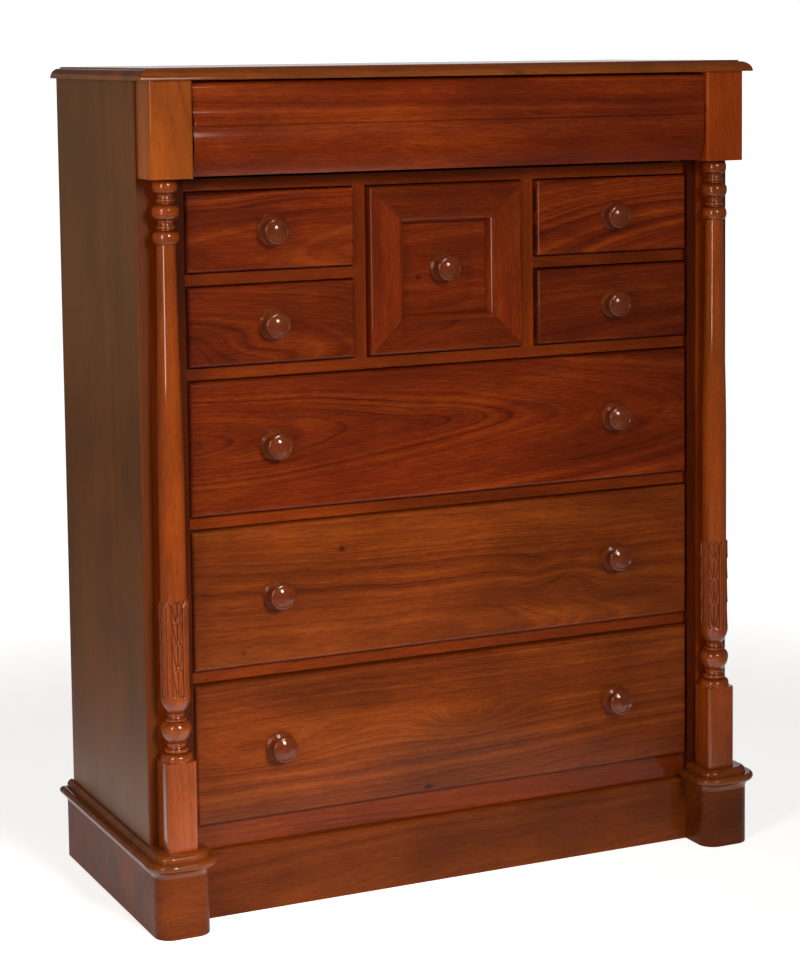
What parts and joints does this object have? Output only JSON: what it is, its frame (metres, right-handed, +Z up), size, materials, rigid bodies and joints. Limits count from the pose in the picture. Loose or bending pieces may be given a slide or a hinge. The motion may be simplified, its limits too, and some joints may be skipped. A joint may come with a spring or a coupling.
{
  "type": "chest of drawers",
  "caption": "Tall block front chest of drawers with turned columns, a moulded frieze drawer, small and long drawers with turned knobs, and a plinth base.",
  "frame": {"origin": "on the floor under the middle of the whole chest", "axes": "+X to the chest's right as seen from the front, +Y from front to back, +Z up; the drawers open towards -Y"},
  "size_m": [1.176, 0.52, 1.437],
  "materials": {
    "carcass_wood": "unpolished secondary wood",
    "drawer_lining": "planed pale lining wood, unpolished",
    "mahogany_capital": "polished mahogany, upright grain",
    "mahogany_front": "polished figured mahogany, level grain",
    "mahogany_moulding": "polished mahogany moulding",
    "mahogany_plinth": "polished mahogany, level grain",
    "mahogany_rail": "polished mahogany, level grain",
    "mahogany_side": "polished brown mahogany, upright grain",
    "mahogany_top": "polished dark red-brown mahogany, long grain across the chest",
    "mahogany_turned": "polished turned mahogany, grain along the column",
    "mahogany_upright": "polished mahogany, upright grain"
  },
  "bodies": {
    "carcass": {"back_boards": "carcass_wood", "bottom_rail": "mahogany_rail", "capital_left": "mahogany_capital", "capital_right": "mahogany_capital", "column_left": "mahogany_turned", "column_right": "mahogany_turned", "corner_block_left": "mahogany_plinth", "corner_block_right": "mahogany_plinth", "dividers": "mahogany_upright", "drawer_guides": "carcass_wood", "drawer_stops": "carcass_wood", "dust_panels": "carcass_wood", "frieze_rail": "mahogany_rail", "glue_blocks": "carcass_wood", "lower_long_rail": "mahogany_rail", "middle_rail": "mahogany_rail", "partitions": "carcass_wood", "plinth_boards": "mahogany_plinth", "plinth_cap_left": "mahogany_moulding", "plinth_cap_right": "mahogany_moulding", "plinth_front": "mahogany_plinth", "runners": "carcass_wood", "side_left": "mahogany_side", "side_right": "mahogany_side", "small_rails": "mahogany_rail", "stile_left": "mahogany_upright", "stile_right": "mahogany_upright", "top_board": "mahogany_top", "top_rail": "mahogany_rail", "upper_long_rail": "mahogany_rail"},
    "drawer_frieze": {"drawer_frieze_box": "drawer_lining", "drawer_frieze_front": "mahogany_front", "drawer_frieze_moulding": "mahogany_moulding"},
    "drawer_upper_left": {"drawer_upper_left_box": "drawer_lining", "drawer_upper_left_front": "mahogany_front"},
    "drawer_upper_right": {"drawer_upper_right_box": "drawer_lining", "drawer_upper_right_front": "mahogany_front"},
    "drawer_lower_left": {"drawer_lower_left_box": "drawer_lining", "drawer_lower_left_front": "mahogany_front"},
    "drawer_lower_right": {"drawer_lower_right_box": "drawer_lining", "drawer_lower_right_front": "mahogany_front"},
    "drawer_centre": {"drawer_centre_box": "drawer_lining", "drawer_centre_frame": "mahogany_front", "drawer_centre_moulding": "mahogany_moulding", "drawer_centre_panel": "mahogany_front"},
    "drawer_long_1": {"drawer_long_1_box": "drawer_lining", "drawer_long_1_front": "mahogany_front"},
    "drawer_long_2": {"drawer_long_2_box": "drawer_lining", "drawer_long_2_front": "mahogany_front"},
    "drawer_long_3": {"drawer_long_3_box": "drawer_lining", "drawer_long_3_front": "mahogany_front"}
  },
  "joints": [
    {"name": "frieze_slide", "type": "slide", "parent": "carcass", "child": "drawer_frieze", "axis": [0, -1, 0], "range_m": [0, 0.28]},
    {"name": "upper_left_slide", "type": "slide", "parent": "carcass", "child": "drawer_upper_left", "axis": [0, -1, 0], "range_m": [0, 0.28]},
    {"name": "upper_right_slide", "type": "slide", "parent": "carcass", "child": "drawer_upper_right", "axis": [0, -1, 0], "range_m": [0, 0.28]},
    {"name": "lower_left_slide", "type": "slide", "parent": "carcass", "child": "drawer_lower_left", "axis": [0, -1, 0], "range_m": [0, 0.28]},
    {"name": "lower_right_slide", "type": "slide", "parent": "carcass", "child": "drawer_lower_right", "axis": [0, -1, 0], "range_m": [0, 0.28]},
    {"name": "centre_slide", "type": "slide", "parent": "carcass", "child": "drawer_centre", "axis": [0, -1, 0], "range_m": [0, 0.28]},
    {"name": "long_1_slide", "type": "slide", "parent": "carcass", "child": "drawer_long_1", "axis": [0, -1, 0], "range_m": [0, 0.28]},
    {"name": "long_2_slide", "type": "slide", "parent": "carcass", "child": "drawer_long_2", "axis": [0, -1, 0], "range_m": [0, 0.28]},
    {"name": "long_3_slide", "type": "slide", "parent": "carcass", "child": "drawer_long_3", "axis": [0, -1, 0], "range_m": [0, 0.28]}
  ]
}
